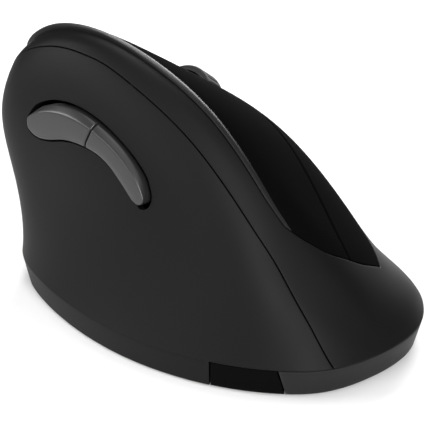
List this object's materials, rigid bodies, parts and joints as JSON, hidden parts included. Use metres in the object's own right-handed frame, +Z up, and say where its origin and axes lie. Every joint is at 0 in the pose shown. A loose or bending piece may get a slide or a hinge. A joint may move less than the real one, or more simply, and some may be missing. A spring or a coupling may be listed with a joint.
{
  "type": "ergonomic vertical mouse",
  "caption": "Right-handed upright wireless mouse with thumb cover, palm shell, two finger plates, scroll wheel, thumb buttons and sliding battery door.",
  "frame": {"origin": "centre of the bounding box in plan, on the plane that the glide feet stand on", "axes": "+X to the right hand side, +Y forward to the nose, +Z up"},
  "size_m": [0.0858, 0.1202, 0.0785],
  "materials": {
    "shell": "fine matte texture",
    "finger_plate": "soft-touch matte",
    "steel": "plain",
    "wheel_hub": "satin",
    "wheel_tyre": "grooved",
    "inner_plastic": "moulded",
    "encoder_plastic": "moulded",
    "switch_plastic": "moulded",
    "circuit": "solder mask",
    "side_button": "satin",
    "recess": "matte",
    "base": "fine matte texture",
    "door": "satin",
    "cell_sleeve": "printed sleeve without words",
    "lens": "clear moulding",
    "knob": "satin",
    "glide": "smooth low-friction"
  },
  "bodies": {
    "mouse_body": {"thumb_side_cover": "shell", "palm_shell": "shell", "finger_hinge_pin": "steel", "wheel_fork_pin": "steel", "fork_stand_left": "inner_plastic", "fork_stand_right": "inner_plastic", "left_switch": "switch_plastic", "right_switch": "switch_plastic", "wheel_switch": "switch_plastic", "switch_board": "circuit", "switch_bridge": "inner_plastic", "switch_board_screw_1": "steel", "switch_board_screw_2": "steel", "side_button_tray": "recess", "side_switch_back": "switch_plastic", "side_switch_forward": "switch_plastic", "side_switch_board": "circuit", "base_plate": "base", "battery_cell": "cell_sleeve", "battery_spring": "steel", "battery_contact": "steel", "main_board": "circuit", "main_chip": "switch_plastic", "optical_sensor": "switch_plastic", "sensor_lens": "lens", "power_switch": "steel", "main_board_screw_1": "steel", "main_board_screw_2": "steel", "base_screw_1": "steel", "base_screw_2": "steel", "base_screw_3": "steel", "base_screw_4": "steel", "glide_foot_1": "glide", "glide_foot_2": "glide", "glide_foot_3": "glide", "glide_foot_4": "glide", "glide_foot_5": "glide"},
    "left_plate": {"left_button": "finger_plate"},
    "right_plate": {"right_button": "finger_plate"},
    "wheel_cradle": {"wheel_fork": "inner_plastic", "scroll_encoder": "encoder_plastic"},
    "scroll_wheel": {"scroll_hub": "wheel_hub", "scroll_tyre": "wheel_tyre"},
    "thumb_button_back": {"side_button_back": "side_button"},
    "thumb_button_forward": {"side_button_forward": "side_button"},
    "power_slider": {"power_knob": "knob"},
    "battery_cover": {"battery_door": "door"}
  },
  "joints": [
    {"name": "left_click", "type": "hinge", "parent": "mouse_body", "child": "left_plate", "pos_m": [0.00856, -0.03098, 0.0304], "axis": [-0.7541, 0.2412, 0.6108], "range_deg": [0, 0.62], "stiffness_Nm_per_rad": 2, "springref_deg": -0.86},
    {"name": "right_click", "type": "hinge", "parent": "mouse_body", "child": "right_plate", "pos_m": [0.00856, -0.03098, 0.0304], "axis": [-0.7541, 0.2412, 0.6108], "range_deg": [0, 0.62], "stiffness_Nm_per_rad": 2, "springref_deg": -0.86},
    {"name": "wheel_click", "type": "hinge", "parent": "mouse_body", "child": "wheel_cradle", "pos_m": [0.00032, 0.03248, 0.05065], "axis": [0.7731, 0, -0.6343], "range_deg": [0, 1.55], "stiffness_Nm_per_rad": 0.45, "springref_deg": -1.6},
    {"name": "wheel_spin", "type": "hinge", "parent": "wheel_cradle", "child": "scroll_wheel", "pos_m": [0.00226, 0.01729, 0.05302], "axis": [0.7731, 0, -0.6343], "continuous": true},
    {"name": "thumb_back_press", "type": "slide", "parent": "mouse_body", "child": "thumb_button_back", "axis": [0.9576, 0.2392, -0.1608], "range_m": [0, 0.0008], "stiffness_N_per_m": 600, "springref_m": -0.0008},
    {"name": "thumb_forward_press", "type": "slide", "parent": "mouse_body", "child": "thumb_button_forward", "axis": [0.9576, 0.2392, -0.1608], "range_m": [0, 0.0008], "stiffness_N_per_m": 600, "springref_m": -0.0008},
    {"name": "power_slide", "type": "slide", "parent": "mouse_body", "child": "power_slider", "axis": [1, 0, 0], "range_m": [0, 0.004]},
    {"name": "battery_door_slide", "type": "slide", "parent": "mouse_body", "child": "battery_cover", "axis": [-0.7823, -0.6229, 0], "range_m": [0, 0.058]}
  ]
}
